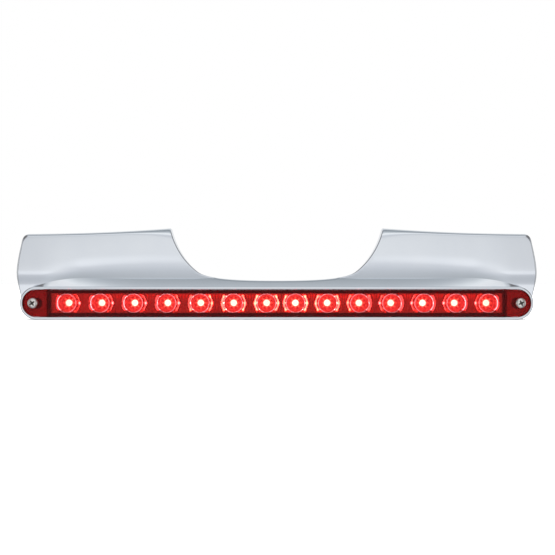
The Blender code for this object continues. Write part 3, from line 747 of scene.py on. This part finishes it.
def along_from_led(tree, x):
    """The distance along X from the nearest LED, in millimetres, positive towards the ends."""
    joint, first = BOARD_JOINT_X / MM, LED_TO_JOINT / MM
    left = math_node(tree, "SUBTRACT", joint - first, x)
    left = math_node(tree, "WRAP", left, LEFT_PITCH / MM / 2, -LEFT_PITCH / MM / 2)
    right = math_node(tree, "SUBTRACT", x, joint + first)
    right = math_node(tree, "WRAP", right, RIGHT_PITCH / MM / 2, -RIGHT_PITCH / MM / 2)
    side = math_node(tree, "GREATER_THAN", x, joint)
    pick = tree.nodes.new("ShaderNodeMix")
    tree.links.new(side, pick.inputs["Factor"])
    tree.links.new(left, pick.inputs["A"])
    tree.links.new(right, pick.inputs["B"])
    return pick.outputs["Result"]


def distance_from(tree, u, v):
    """The length of a sideways and an upright distance taken together."""
    square_u, square_v = math_node(tree, "MULTIPLY", u, u), math_node(tree, "MULTIPLY", v, v)
    return math_node(tree, "SQRT", math_node(tree, "ADD", square_u, square_v))


def band(tree, value, low, high, soft):
    """One between low and high, falling to nothing over the soft width outside them."""
    up = tree.nodes.new("ShaderNodeMapRange")
    up.interpolation_type = "SMOOTHSTEP"
    up.inputs["From Min"].default_value = low - soft
    up.inputs["From Max"].default_value = low
    tree.links.new(value, up.inputs["Value"])
    down = tree.nodes.new("ShaderNodeMapRange")
    down.interpolation_type = "SMOOTHSTEP"
    down.inputs["From Min"].default_value = high
    down.inputs["From Max"].default_value = high + soft
    down.inputs["To Min"].default_value = 1.0
    down.inputs["To Max"].default_value = 0.0
    tree.links.new(value, down.inputs["Value"])
    return math_node(tree, "MULTIPLY", up.outputs["Result"], down.outputs["Result"])


def mix_colour(tree, share, first, second):
    """Two colours mixed by a share. A colour is three numbers or another node's output."""
    mix = tree.nodes.new("ShaderNodeMix")
    mix.data_type = "RGBA"
    tree.links.new(share, mix.inputs[0])
    for socket, colour in ((mix.inputs[6], first), (mix.inputs[7], second)):
        if isinstance(colour, tuple):
            socket.default_value = (*colour, 1)
        else:
            tree.links.new(colour, socket)
    return mix.outputs[2]


lens_red, tree, shader, grain = new_finish("clear_red_plastic", 60.0)
x, y, z = place_in_mm(tree)
size_x = math_node(tree, "ABSOLUTE", x)
size_z = math_node(tree, "ABSOLUTE", z)
from_led = distance_from(tree, along_from_led(tree, x), z)
window_red = ramp_between(tree, grain, ((0.64, 0.034, 0.028), (0.70, 0.040, 0.034)))
in_window = math_node(tree, "LESS_THAN", size_x, (WINDOW_HALF_LENGTH - LENS_WALL) / MM)
# Each eye's edge carries a painted highlight, a bright pink ring, with a ring of painted shade just
# outside it.
painted_eye_highlight = math_node(tree, "MULTIPLY", band(tree, from_led, 5.45, 5.75, 0.12), in_window)
ring_shade = math_node(tree, "MULTIPLY", band(tree, from_led, 6.0, 6.2, 0.15), in_window)
colour = mix_colour(tree, painted_eye_highlight, window_red, (1.0, 0.40, 0.42))
colour = mix_colour(tree, ring_shade, colour, (0.30, 0.006, 0.006))
# The window's top and bottom edges and its ends are painted dark red as shade, where the lens's side
# wall looks dark.
painted_wall_shade_z = band(tree, size_z, 6.2, 20.0, 0.7)
painted_wall_shade_x = band(tree, size_x, 136.0, 138.3, 1.6)
wall = math_node(tree, "MAXIMUM", painted_wall_shade_z, painted_wall_shade_x)
colour = mix_colour(tree, wall, colour, (0.20, 0.005, 0.006))
ear = math_node(tree, "GREATER_THAN", size_x, WINDOW_HALF_LENGTH / MM + 0.05)
ear_red = ramp_between(tree, grain, ((0.62, 0.014, 0.016), (0.70, 0.022, 0.022)))
# On the inner side of each screw the ear is painted dark, as shade from the hole behind it.
beside_screw = distance_from(tree, math_node(tree, "SUBTRACT", size_x, SCREW_X / MM - 2.2), z)
from_screw = distance_from(tree, math_node(tree, "SUBTRACT", size_x, SCREW_X / MM), z)
painted_screw_shade = band(tree, beside_screw, -1.0, 2.9, 0.9)
painted_screw_shade = math_node(tree, "MULTIPLY", painted_screw_shade, band(tree, from_screw, 3.4, 50.0, 0.3))
ear_red = mix_colour(tree, painted_screw_shade, ear_red, (0.22, 0.006, 0.008))
colour = mix_colour(tree, ear, colour, ear_red)
tree.links.new(colour, shader.inputs["Base Color"])
shader.inputs["Transmission Weight"].default_value = 0.88
shader.inputs["IOR"].default_value = 1.1
shader.inputs["Coat Weight"].default_value = 0.12
shader.inputs["Coat Roughness"].default_value = 0.03
tree.links.new(value_between(tree, grain, 0.02, 0.05), shader.inputs["Roughness"])


def slab(name, outline, rows):
    """A plate with an outline of (x, z) points, drawn in by each row's (inset, y), front first."""
    count = len(outline)
    columns = []
    for index, here in enumerate(outline):
        before = (here - outline[index - 1]).normalized()
        after = (outline[(index + 1) % count] - here).normalized()
        along = before + after
        inward = Vector((-along.y, along.x)).normalized()
        reach = 1 / max(0.5, inward.dot(Vector((-after.y, after.x))))
        step = inward * reach
        columns.append([(here.x + step.x * d, y, here.y + step.y * d) for d, y in rows])
    return stretch_over(name, columns)


def rounded_rows(radius, y0, y1, steps=5):
    """Rows for a plate whose front edge is rounded."""
    turns = [math.pi / 2 * step / steps for step in range(steps + 1)]
    rows = [(radius * (1 - math.sin(turn)), y0 + radius * (1 - math.cos(turn))) for turn in turns]
    return rows + [(0.0, y1)]


def rounded_outline(half_length, half_height, radius, steps=8):
    """A rectangle with rounded corners. A radius of half its height gives a stadium."""
    points = []
    for quarter, (sx, sz) in enumerate(((1, 1), (-1, 1), (-1, -1), (1, -1))):
        centre = Vector((sx * (half_length - radius), sz * (half_height - radius)))
        for step in range(steps + 1):
            turn = math.pi / 2 * (quarter + step / steps)
            points.append(centre + radius * Vector((math.cos(turn), math.sin(turn))))
    return points


x, z = WINDOW_HALF_LENGTH, WINDOW_HALF_HEIGHT
rows = rounded_rows(WINDOW_EDGE_ROUNDING, LENS_FACE_Y, LENS_FOOT_Y)
lens = slab("red_lens", rounded_outline(x, z, 0.8 * MM, 4), rows)
for side in (-1, 1):
    stadium = rounded_outline(LENS_HALF_LENGTH, EAR_HALF_HEIGHT, EAR_HALF_HEIGHT - 0.02 * MM, 24)
    outline = [at for at in stadium if at.x > 0]
    inner_x = WINDOW_HALF_LENGTH - 1 * MM
    corners = [Vector((inner_x, EAR_HALF_HEIGHT)), Vector((inner_x, -EAR_HALF_HEIGHT))]
    middle = len(outline) // 2
    outline = outline[:middle] + corners + outline[middle:]
    if side < 0:
        outline = [Vector((-at.x, at.y)) for at in reversed(outline)]
    rows = rounded_rows(0.35 * MM, EAR_FACE_Y, EAR_FACE_Y + EAR_THICKNESS, 4)
    combine(lens, slab("ear", outline, rows), "UNION")
x, z = WINDOW_HALF_LENGTH - LENS_WALL, WINDOW_HALF_HEIGHT - LENS_WALL
inner_y = LENS_FACE_Y + LENS_SKIN
combine(lens, block("lens_hollow", (-x, inner_y, -z), (x, 0.0, z)))
for side in (-1, 1):
    combine(lens, round_bar("ear_hole", side * SCREW_X, 0, SCREW_HOLE_RADIUS, -0.04, 0.0))
for x in led_xs:
    eye = [(0.0, inner_y - 0.6 * MM), (EYE_RADIUS, inner_y - 0.6 * MM)]
    eye.append((EYE_RADIUS, inner_y + 0.25 * MM))
    for share in (0.97, 0.8, 0.6, 0.4, 0.2):
        eye.append((EYE_RADIUS * share, inner_y + (0.5 - 0.18 * share * share) * MM))
    eye.append((0.0, inner_y + 0.5 * MM))
    combine(lens, turned("eye", eye, x, 0), "UNION")
lens.data.materials.clear()
lens.data.materials.append(lens_red)
smooth(lens, 30)
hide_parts("lens")
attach(lens, "root")

# ---- LEDs ---------------------------------------------------------------------------------------
# Fourteen surface-mounted packages, seven to a board, each with a round resin base and a
# clear dome that glows almost white when the lamp is lit.

LED_FRONT_Y = -14.4 * MM
ON_BOARD_Y = -11.2 * MM
DOME_RADIUS = 1.6 * MM
LED_BASE_RADIUS = 2.3 * MM

led_resin, tree, shader, grain = new_finish("lit_led_resin", 400.0)
x, y, z = place_in_mm(tree)
tint = ramp_between(tree, grain, ((0.92, 0.86, 0.80), (1.0, 0.95, 0.90)))
tree.links.new(tint, shader.inputs["Base Color"])
shader.inputs["Roughness"].default_value = 0.2
from_led = distance_from(tree, along_from_led(tree, x), z)
glow = tree.nodes.new("ShaderNodeValToRGB")
glow.color_ramp.interpolation = "EASE"
glow_stops = (
    (0.00, (1.0, 1.00, 1.05)),
    (0.70, (1.0, 0.95, 0.92)),
    (0.86, (0.42, 0.25, 0.19)),
    (1.00, (0.05, 0.006, 0.006)),
)
set_stops(glow.color_ramp, glow_stops)
tree.links.new(math_node(tree, "DIVIDE", from_led, LED_BASE_RADIUS / MM), glow.inputs["Fac"])
tree.links.new(glow.outputs["Color"], shader.inputs["Emission Color"])
shader.inputs["Emission Strength"].default_value = 38.0

profile = [(0.0, LED_FRONT_Y)]
for step in range(1, 9):
    turn = math.pi / 2 * step / 8
    depth = LED_FRONT_Y + 1.5 * MM * (1 - math.cos(turn))
    profile.append((DOME_RADIUS * math.sin(turn), depth))
profile += [(DOME_RADIUS, -12.4 * MM), (LED_BASE_RADIUS - 0.15 * MM, -12.4 * MM)]
profile += [(LED_BASE_RADIUS, -12.25 * MM), (LED_BASE_RADIUS, ON_BOARD_Y), (0.0, ON_BOARD_Y)]
first_led = turned("led_lamp_01", profile, 0, 0, 32)
first_led.data.materials.append(led_resin)
smooth(first_led, 35)
for index, x in enumerate(led_xs):
    led = first_led
    if index:
        led = first_led.copy()
        led.data = first_led.data.copy()
        led.name = f"led_lamp_{index + 1:02d}"
        bpy.context.scene.collection.objects.link(led)
    led.data.transform(Matrix.Translation((x - (led_xs[0] if index else 0), 0, 0)))
    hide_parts(f"led_{index + 1:02d}")
    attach(led, "root")

# ---- Reflectors ---------------------------------------------------------------------------------
# A moulded and bright-plated tray on each board. Every LED stands in a round bowl whose mouth widens
# into a long six-sided frame. The light that the six small slopes between bowl and frame catch is
# painted on as glowing highlight spots, and the bowls carry a painted glow.

FRAME_POINT = 7.9 * MM
FRAME_CORNER_X = 5.75 * MM
FRAME_CORNER_Z = 5.45 * MM
BOWL_MOUTH = 5.55 * MM
BOWL_MOUTH_Y = -14.3 * MM
LED_HOLE = 2.45 * MM

bright_plate, tree, shader, grain = new_finish("bright_plated_plastic", 190.0)
x, y, z = place_in_mm(tree)
shader.inputs["Metallic"].default_value = 1.0
tint = ramp_between(tree, grain, ((0.42, 0.36, 0.33), (0.66, 0.58, 0.52)), (0.35, 0.65))
tree.links.new(value_between(tree, grain, 0.12, 0.24), shader.inputs["Roughness"])
outward = along_from_led(tree, x)
sideways, upright = math_node(tree, "ABSOLUTE", outward), math_node(tree, "ABSOLUTE", z)
# Painted highlights: glowing spots at each frame's points and corners near the middle, made with
# emission, stand for the LED's light caught by the slopes.
from_point_x = math_node(tree, "SUBTRACT", sideways, 6.9)
at_point = distance_from(tree, from_point_x, math_node(tree, "MULTIPLY", upright, 0.8))
from_corner_x = math_node(tree, "MULTIPLY", math_node(tree, "SUBTRACT", sideways, 5.9), 1.3)
from_corner_z = math_node(tree, "SUBTRACT", upright, 3.9)
at_corner = distance_from(tree, from_corner_x, math_node(tree, "MULTIPLY", from_corner_z, 0.75))
painted_corner_glints = band(tree, at_corner, -1.0, 0.45, 0.5)
painted_glint_spots = math_node(tree, "MAXIMUM", band(tree, at_point, -1.0, 0.5, 0.5), painted_corner_glints)
patchy = band(tree, grain, 0.52, 2.0, 0.1)
from_middle = math_node(tree, "ABSOLUTE", x)
near_middle = band(tree, from_middle, -1.0, 42.0, 30.0)
painted_glint_spots = math_node(tree, "MULTIPLY", math_node(tree, "MULTIPLY", painted_glint_spots, patchy), near_middle)
# A painted glint, also made with emission, by each cup towards the ends.
inner_point = distance_from(tree, math_node(tree, "ADD", outward, 7.1), z)
far_out = band(tree, from_middle, 62.0, 500.0, 20.0)
glint = math_node(tree, "MULTIPLY", band(tree, inner_point, -1.0, 0.5, 0.5), far_out)
painted_glint_colour = mix_colour(tree, painted_glint_spots, (0.004, 0.001, 0.001), (1.0, 0.90, 0.48))
# The cups away from the middle are painted darker, as shade.
outer_cup_painted_shade = band(tree, distance_from(tree, outward, z), -1.0, 8.2, 0.3)
outer_cup_painted_shade = math_node(tree, "MULTIPLY", outer_cup_painted_shade, band(tree, from_middle, 60.0, 500.0, 30.0))
tint = mix_colour(tree, outer_cup_painted_shade, tint, (0.17, 0.13, 0.15))
seams = band(tree, sideways, 8.85, 9.2, 0.25)
tint = mix_colour(tree, seams, tint, (0.22, 0.16, 0.16))
tree.links.new(tint, shader.inputs["Base Color"])
tree.links.new(mix_colour(tree, glint, painted_glint_colour, (1.0, 0.9, 1.0)), shader.inputs["Emission Color"])
shader.inputs["Emission Strength"].default_value = 20.0

bowl_painted_glow, tree, shader, grain = new_finish("bowl_of_reflector_painted_glow", 260.0)
x, y, z = place_in_mm(tree)
outward = along_from_led(tree, x)
from_led = distance_from(tree, outward, z)
vary(tree, shader, grain, ((0.030, 0.018, 0.024), (0.050, 0.032, 0.042)), (0.35, 0.5))
# The bowl's base colour is near black. Its glow round the LED and the cross of bright streaks are
# painted light, made with emission, though the bowl is no lamp.
glow = tree.nodes.new("ShaderNodeValToRGB")
set_stops(
    glow.color_ramp,
    (
        (0.00, (0.20, 0.11, 0.10)),
        (0.42, (0.10, 0.05, 0.045)),
        (0.56, (0.038, 0.014, 0.018)),
        (0.80, (0.028, 0.009, 0.013)),
        (1.00, (0.024, 0.008, 0.013)),
    ),
)
tree.links.new(math_node(tree, "DIVIDE", from_led, BOWL_MOUTH / MM), glow.inputs["Fac"])
sideways, upright = math_node(tree, "ABSOLUTE", outward), math_node(tree, "ABSOLUTE", z)
straight = band(tree, math_node(tree, "MULTIPLY", sideways, upright), -1.0, 0.1, 0.7)
slanted = math_node(tree, "ABSOLUTE", math_node(tree, "SUBTRACT", sideways, upright))
slanted = band(tree, slanted, -1.0, 0.1, 0.5)
painted_streak_arms = math_node(tree, "MAXIMUM", straight, slanted)
painted_streak_arms = math_node(tree, "MULTIPLY", painted_streak_arms, band(tree, from_led, -1.0, 2.2, 1.9))
lit = mix_colour(tree, painted_streak_arms, glow.outputs["Color"], (1.0, 0.60, 0.46))
tree.links.new(lit, shader.inputs["Emission Color"])
shader.inputs["Emission Strength"].default_value = 20.0

frame_corners = [
    Vector((FRAME_POINT, 0)),
    Vector((FRAME_CORNER_X, FRAME_CORNER_Z)),
    Vector((-FRAME_CORNER_X, FRAME_CORNER_Z)),
    Vector((-FRAME_POINT, 0)),
    Vector((-FRAME_CORNER_X, -FRAME_CORNER_Z)),
    Vector((FRAME_CORNER_X, -FRAME_CORNER_Z)),
]
for side, label in ((-1, "left"), (1, "right")):
    low, high = (Vector(corner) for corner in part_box(f"reflector_{label}"))
    tray = block(f"reflector_tray_{label}", low, high)
    bevel_where(tray, lambda m: m.y < low.y + 1e-6, 0.3 * MM, 2)
    tray.data.materials.append(bright_plate)
    tray.data.materials.append(bowl_painted_glow)
    xs = [x for x in led_xs if (x > BOARD_JOINT_X) == (side > 0)]
    for x in xs:
        columns = []
        for index, corner in enumerate(frame_corners):
            after = frame_corners[(index + 1) % 6]
            for step in range(8):
                rim = corner.lerp(after, step / 8)
                way = rim.normalized()
                mouth = way * min(BOWL_MOUTH, rim.length - 0.05 * MM)
                column = []
                for share in (-0.1, 0.0, 1.0):
                    at = rim.lerp(mouth, share)
                    column.append((x + at.x, low.y + (BOWL_MOUTH_Y - low.y) * share, at.y))
                for turn in (15, 30, 45, 60, 75, 90):
                    angle = math.radians(turn)
                    radius = LED_HOLE + (mouth.length - LED_HOLE) * math.cos(angle)
                    y = BOWL_MOUTH_Y + (high.y - 0.3 * MM - BOWL_MOUTH_Y) * math.sin(angle)
                    column.append((x + way.x * radius, y, way.y * radius))
                column.append((x + way.x * LED_HOLE, high.y + 0.2 * MM, way.y * LED_HOLE))
                columns.append(column)
        cup = stretch_over("cup", columns)
        cup.data.materials.append(bright_plate)
        cup.data.materials.append(bowl_painted_glow)
        for face in cup.data.polygons:
            face.material_index = int(face.center.y > BOWL_MOUTH_Y)
        combine(tray, cup)
    for here, after in zip(sorted(xs), sorted(xs)[1:]):
        middle = (here + after) / 2
        for shift in (-0.7 * MM, 0.7 * MM):
            x = middle + shift
            groove_low = (x - 0.2 * MM, low.y - 0.1 * MM, low.z - 0.001)
            groove_high = (x + 0.2 * MM, low.y + 0.8 * MM, high.z + 0.001)
            combine(tray, block("groove", groove_low, groove_high))
    smooth(tray, 28)
    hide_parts(f"reflector_{label}")
    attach(tray, "root")

# ---- Lens screws --------------------------------------------------------------------------------
# Two stainless pan-head screws with a cross recess hold the lens and the light base in the housing.
# The heads stand on the ears of the lens, with a fine turned finish, and the cross recess is painted
# dark as shade.

screw_low, screw_high = (Vector(corner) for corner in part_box("lens_screw_left"))
HEAD_RADIUS = 3.25 * MM
HEAD_SEAT_Y = screw_low.y + 2.2 * MM
THREAD_RADIUS = 1.5 * MM

stainless, tree, shader, grain = new_finish("turned_stainless", 500.0, 5.0)
shader.inputs["Metallic"].default_value = 1.0
vary(tree, shader, grain, ((0.80, 0.77, 0.73), (0.97, 0.94, 0.90)), (0.2, 0.42))
add_bump(tree, shader, grain, 0.25, 0.0002)

# The cross recess gets a near-black finish that stands in for painted shade.
recess_painted_shade, tree, shader, grain = new_finish("cross_recess_painted_shade", 700.0)
shader.inputs["Metallic"].default_value = 1.0
vary(tree, shader, grain, ((0.05, 0.05, 0.05), (0.16, 0.15, 0.14)), (0.4, 0.6))

profile = [(0.0, screw_low.y), (HEAD_RADIUS * 0.3, screw_low.y + 0.03 * MM)]
for step in range(1, 9):
    turn = math.pi / 2 * step / 8
    radius = HEAD_RADIUS * (0.3 + 0.7 * math.sin(turn) ** 0.9)
    profile.append((radius, screw_low.y + 0.03 * MM + 1.77 * MM * (1 - math.cos(turn))))
profile += [(HEAD_RADIUS, HEAD_SEAT_Y - 0.1 * MM), (HEAD_RADIUS - 0.1 * MM, HEAD_SEAT_Y)]
y = HEAD_SEAT_Y
profile += [(THREAD_RADIUS, y), (THREAD_RADIUS, y + 0.4 * MM)]
while y < screw_high.y - 2.2 * MM:
    profile += [(THREAD_RADIUS, y + 0.45 * MM), (1.18 * MM, y + 0.7 * MM)]
    profile.append((THREAD_RADIUS, y + 0.95 * MM))
    y += 0.5 * MM
profile += [(1.2 * MM, screw_high.y - 0.9 * MM), (0.5 * MM, screw_high.y), (0.0, screw_high.y)]


for side, label in ((-1, "left"), (1, "right")):
    screw = turned(f"screw_{label}", profile, 0, 0, 48)
    screw.data.materials.append(stainless)
    screw.data.materials.append(recess_painted_shade)
    for turn in (0, 90):
        arm_low = (-1.75 * MM, screw_low.y - 1 * MM, -0.42 * MM)
        arm = block("arm", arm_low, (1.75 * MM, screw_low.y + 1.4 * MM, 0.42 * MM))
        deep = screw_low.y + 1 * MM
        bevel_where(arm, lambda m: m.y > deep and abs(m.x) > 1 * MM, 0.6 * MM, 2)
        arm.data.transform(Matrix.Rotation(math.radians(turn), 4, "Y"))
        mark_as(arm, stainless, recess_painted_shade)
        combine(screw, arm)
    y0, y1 = screw_low.y - 0.5 * MM, screw_low.y + 0.9 * MM
    mouth = round_bar("mouth", 0, 0, 1.3 * MM, y0, y1, 32, 0.4 * MM)
    mark_as(mouth, stainless, recess_painted_shade)
    combine(screw, mouth)
    turn = -35 if side < 0 else -25
    screw.data.transform(Matrix.Rotation(math.radians(turn), 4, "Y"))
    screw.data.transform(Matrix.Translation((side * SCREW_X, 0, 0)))
    smooth(screw, 30)
    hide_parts(f"lens_screw_{label}")
    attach(screw, "root")

# ---- Light base, gasket, boards and small parts -------------------------------------------------
# The black moulded tray, foam gasket and boards sit under the reflectors, and are seen only when the
# light is taken apart. Each keeps its shape and gets the finish of its own material.


def dress(node, material):
    """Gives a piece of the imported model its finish."""
    obj = bpy.data.objects[node] if node in bpy.data.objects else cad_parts[node]
    obj.data.materials.clear()
    obj.data.materials.append(material)


black_plastic, tree, shader, grain = new_finish("black_moulded_plastic", 1400.0)
vary(tree, shader, grain, ((0.012, 0.012, 0.013), (0.03, 0.03, 0.032)), (0.42, 0.6))
add_bump(tree, shader, grain, 0.3, 0.0002)
dress("light_base", black_plastic)

rubber, tree, shader, grain = new_finish("black_rubber", 600.0)
vary(tree, shader, grain, ((0.010, 0.010, 0.010), (0.022, 0.021, 0.020)), (0.7, 0.9))
add_bump(tree, shader, grain, 0.2, 0.0001)
for node in ("lens_seal", "wire_grommet"):
    dress(node, rubber)

foam, tree, shader, grain = new_finish("closed_cell_foam", 2200.0)
cells = tree.nodes.new("ShaderNodeTexVoronoi")
cells.inputs["Scale"].default_value = 2200.0
tree.links.new(tree.nodes["Texture Coordinate"].outputs["Object"], cells.inputs["Vector"])
foam_tones = ((0.02, 0.02, 0.021), (0.055, 0.055, 0.058))
tint = ramp_between(tree, cells.outputs["Distance"], foam_tones, (0.0, 0.6))
tree.links.new(tint, shader.inputs["Base Color"])
shader.inputs["Roughness"].default_value = 0.95
add_bump(tree, shader, cells.outputs["Distance"], 0.6, 0.0003)
dress("mounting_gasket", foam)

board_finish, tree, shader, grain = new_finish("solder_mask", 90.0)
tracks = tree.nodes.new("ShaderNodeTexBrick")
tracks.inputs["Scale"].default_value = 90.0
tracks.inputs["Mortar Size"].default_value = 0.03
tracks.inputs["Color1"].default_value = (0.010, 0.075, 0.030, 1)
tracks.inputs["Color2"].default_value = (0.012, 0.095, 0.038, 1)
tracks.inputs["Mortar"].default_value = (0.03, 0.17, 0.07, 1)
turn_up = tree.nodes.new("ShaderNodeMapping")
turn_up.inputs["Rotation"].default_value = (math.radians(90), 0, 0)
tree.links.new(tree.nodes["Texture Coordinate"].outputs["Object"], turn_up.inputs["Vector"])
tree.links.new(turn_up.outputs["Vector"], tracks.inputs["Vector"])
tree.links.new(tracks.outputs["Color"], shader.inputs["Base Color"])
tree.links.new(value_between(tree, grain, 0.25, 0.4), shader.inputs["Roughness"])
for label in ("left", "right"):
    dress(f"circuit_board_{label}", board_finish)

ceramic, tree, shader, grain = new_finish("resistor_ceramic", 900.0)
x, y, z = place_in_mm(tree)
ends = band(tree, math_node(tree, "ABSOLUTE", z), 1.15, 5.0, 0.05)
body = ramp_between(tree, grain, ((0.015, 0.015, 0.016), (0.03, 0.03, 0.03)))
tree.links.new(mix_colour(tree, ends, body, (0.72, 0.72, 0.70)), shader.inputs["Base Color"])
tree.links.new(ends, shader.inputs["Metallic"])
tree.links.new(value_between(tree, grain, 0.25, 0.45), shader.inputs["Roughness"])
for number in range(1, 5):
    dress(f"resistor_{number}", ceramic)

epoxy, tree, shader, grain = new_finish("diode_epoxy", 900.0)
x, y, z = place_in_mm(tree)
stripe = band(tree, z, 1.1, 1.5, 0.05)
body = ramp_between(tree, grain, ((0.012, 0.012, 0.012), (0.03, 0.03, 0.03)))
tree.links.new(mix_colour(tree, stripe, body, (0.5, 0.5, 0.5)), shader.inputs["Base Color"])
tree.links.new(value_between(tree, grain, 0.35, 0.5), shader.inputs["Roughness"])
for number in (1, 2):
    dress(f"diode_{number}", epoxy)

# ---- Threaded inserts ---------------------------------------------------------------------------
# A knurled brass insert is pressed into a boss behind each wing, and takes the screw that holds the
# light to the vehicle.

brass, tree, shader, grain = new_finish("knurled_brass", 500.0)
shader.inputs["Metallic"].default_value = 1.0
vary(tree, shader, grain, ((0.62, 0.42, 0.16), (0.80, 0.58, 0.26)), (0.22, 0.4))
add_bump(tree, shader, grain, 0.3, 0.0002)
for label in ("left", "right"):
    dress(f"threaded_insert_{label}", brass)
